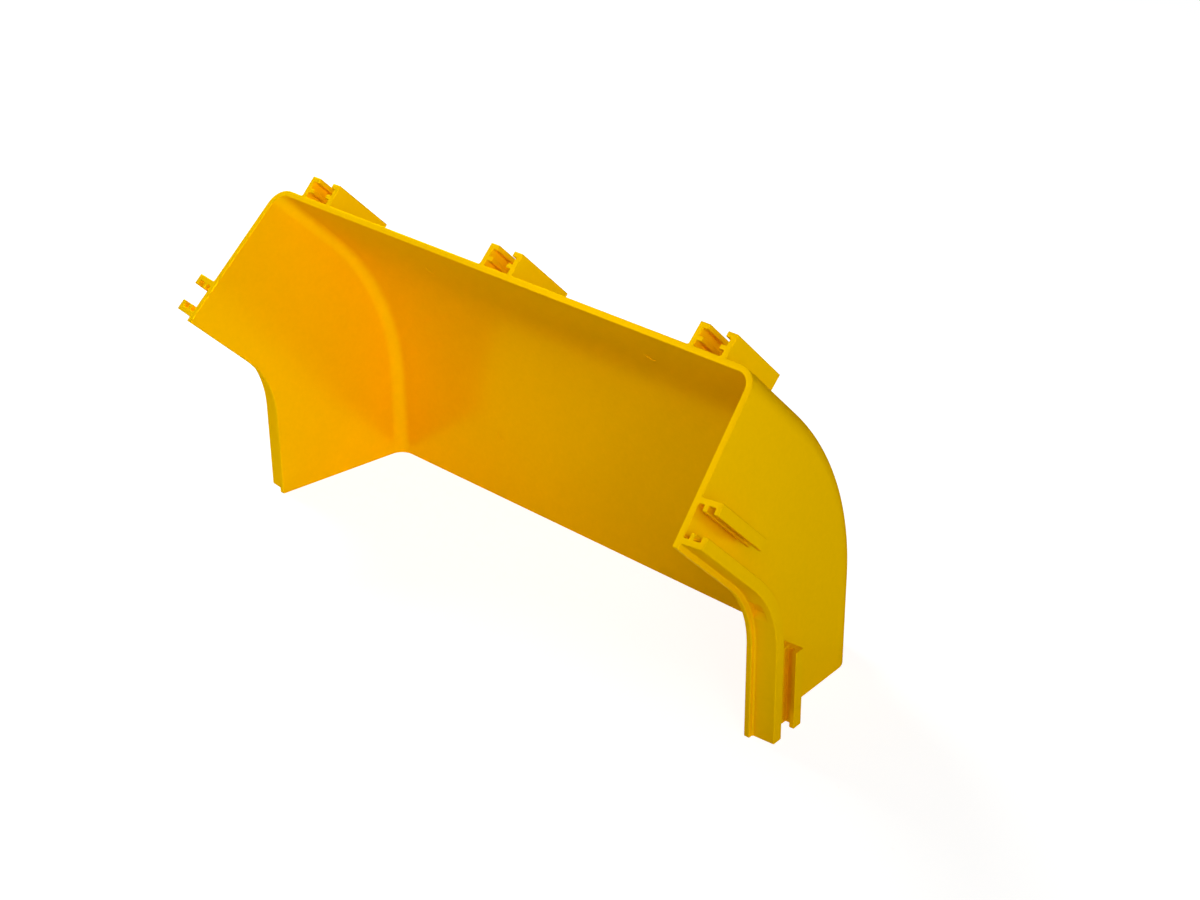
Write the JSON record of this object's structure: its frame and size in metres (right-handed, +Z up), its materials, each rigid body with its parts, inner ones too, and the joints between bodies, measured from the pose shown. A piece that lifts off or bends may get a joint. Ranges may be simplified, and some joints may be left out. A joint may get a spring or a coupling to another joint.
{
  "type": "fibre raceway elbow",
  "caption": "Open U-shaped raceway elbow that turns a fibre trough upwards, with cover flanges along its free edges and connector channels round both ends.",
  "frame": {"origin": "in the plane of the lower end, at the middle of the floor's thickness and width", "axes": "+X across the trough, +Z up out of the lower end along its leg, -Y towards the trough's open side"},
  "size_m": [0.403, 0.1595, 0.2057],
  "materials": {
    "yellow_plastic": "satin, as moulded"
  },
  "bodies": {
    "root": {"raceway_elbow": "yellow_plastic"}
  },
  "joints": []
}
